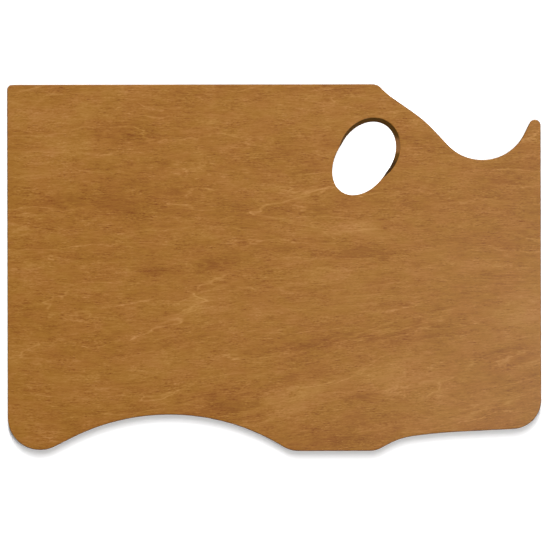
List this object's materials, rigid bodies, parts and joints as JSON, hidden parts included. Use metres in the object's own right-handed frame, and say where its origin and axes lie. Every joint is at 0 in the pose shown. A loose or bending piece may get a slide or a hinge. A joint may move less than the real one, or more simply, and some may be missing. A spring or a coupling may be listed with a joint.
{
  "type": "mixing palette",
  "caption": "Flat hand-held painter's mixing palette of stained plywood, with a raked oval thumb hole, a finger notch beside it and a long shallow arm bay in the opposite edge.",
  "frame": {"origin": "on the back face, midway between the ends and midway between the long edges", "axes": "+X along the board's length towards the notched end, +Y across it towards the edge with the thumb hole, +Z out of the mixing face"},
  "size_m": [0.419, 0.288, 0.0065],
  "materials": {
    "face_veneer": "stained a warm red-brown and lacquered, satin",
    "inner_veneer": "sawn and sanded veneer edge, stained, satin",
    "glue": "cured resin film, dark brown"
  },
  "bodies": {
    "root": {"back_face_veneer": "face_veneer", "back_face_glue_line": "glue", "back_crossband": "inner_veneer", "back_core_glue_line": "glue", "core_veneer": "inner_veneer", "front_core_glue_line": "glue", "front_crossband": "inner_veneer", "front_face_glue_line": "glue", "front_face_veneer": "face_veneer"}
  },
  "joints": []
}
